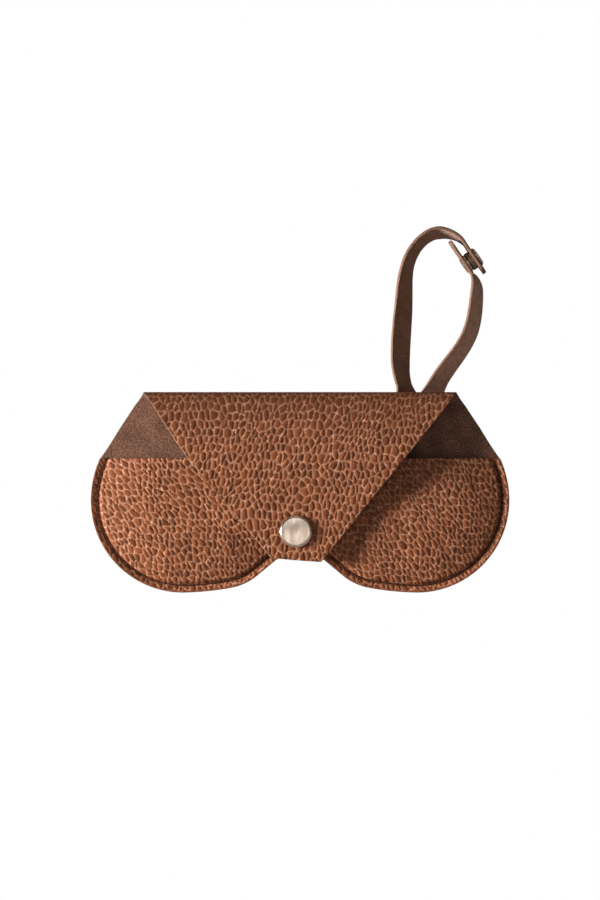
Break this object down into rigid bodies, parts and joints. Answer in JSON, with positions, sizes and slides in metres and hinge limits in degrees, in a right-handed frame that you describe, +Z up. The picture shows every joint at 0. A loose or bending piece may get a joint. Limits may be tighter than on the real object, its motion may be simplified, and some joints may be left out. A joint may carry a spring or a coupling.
{
  "type": "eyeglasses case",
  "caption": "Soft leather spectacle pouch with two rounded lobes, a pointed fold-over flap closed by a press stud, and a looped wrist strap.",
  "frame": {"origin": "centre of the back panel's flat outer face, halfway up the body", "axes": "+X along the width, to the right seen from the front; +Z up towards the fold and the strap; -Y out of the front, where the flap is; +Y out of the flat back"},
  "size_m": [0.18, 0.0183, 0.1574],
  "materials": {
    "leather_grain": "pebbled full grain, satin",
    "leather_fold": "pebbled full grain, satin",
    "leather_strap": "smooth grain outside, suede inside, raw cut edges",
    "thread": "twisted dark brown thread",
    "stud_metal": "polished champagne gold plate",
    "stud_inner": "plated brass",
    "spring_wire": "bright spring wire"
  },
  "bodies": {
    "pouch": {"back_panel": "leather_grain", "front_panel": "leather_grain", "seam_needle_thread": "thread", "seam_bobbin_thread": "thread", "body_snap_stud": "stud_inner", "body_snap_post": "stud_inner", "strap_root": "leather_strap"},
    "fold_1": {"fold_strip_1": "leather_fold"},
    "fold_2": {"fold_strip_2": "leather_fold"},
    "fold_3": {"fold_strip_3": "leather_fold"},
    "fold_4": {"fold_strip_4": "leather_fold"},
    "flap": {"flap": "leather_grain", "flap_snap_cap": "stud_metal", "flap_snap_socket": "stud_inner", "flap_snap_spring": "spring_wire"},
    "strap_loop": {"strap_left_leg": "leather_strap", "strap_right_leg": "leather_strap", "strap_snap_stud": "stud_inner", "strap_snap_post": "stud_inner"},
    "strap_bend": {"strap_top": "leather_strap"},
    "strap_end": {"strap_outer_end": "leather_strap", "strap_snap_cap": "stud_metal", "strap_snap_socket": "stud_inner", "strap_snap_spring": "spring_wire"}
  },
  "joints": [
    {"name": "fold_bend_1", "type": "hinge", "parent": "pouch", "child": "fold_1", "pos_m": [0, -0.00328, 0.03899], "axis": [-1, 0, 0], "range_deg": [0, 30]},
    {"name": "fold_bend_2", "type": "hinge", "parent": "fold_1", "child": "fold_2", "pos_m": [0, -0.00539, 0.04189], "axis": [-1, 0, 0], "range_deg": [0, 30]},
    {"name": "fold_bend_3", "type": "hinge", "parent": "fold_2", "child": "fold_3", "pos_m": [0, -0.0088, 0.043], "axis": [-1, 0, 0], "range_deg": [0, 30]},
    {"name": "fold_bend_4", "type": "hinge", "parent": "fold_3", "child": "fold_4", "pos_m": [0, -0.01221, 0.04189], "axis": [-1, 0, 0], "range_deg": [0, 30]},
    {"name": "flap_open", "type": "hinge", "parent": "fold_4", "child": "flap", "pos_m": [0, -0.01432, 0.03899], "axis": [-1, 0, 0], "range_deg": [0, 30]},
    {"name": "strap_swing", "type": "hinge", "parent": "pouch", "child": "strap_loop", "pos_m": [0.0515, -0.00095, 0.044], "axis": [-1, 0, 0], "range_deg": [-20, 110]},
    {"name": "strap_unsnap", "type": "hinge", "parent": "strap_loop", "child": "strap_bend", "pos_m": [0.0603, -0.00051, 0.11171], "axis": [0, -0.809, 0.5878], "range_deg": [0, 38]},
    {"name": "strap_end_bend", "type": "hinge", "parent": "strap_bend", "child": "strap_end", "pos_m": [0.07182, -0.00095, 0.10733], "axis": [0, -1, 0], "range_deg": [0, 38]}
  ],
  "couplings": [
    {"joint": "strap_end_bend", "follows": "strap_unsnap", "ratio": 1}
  ]
}
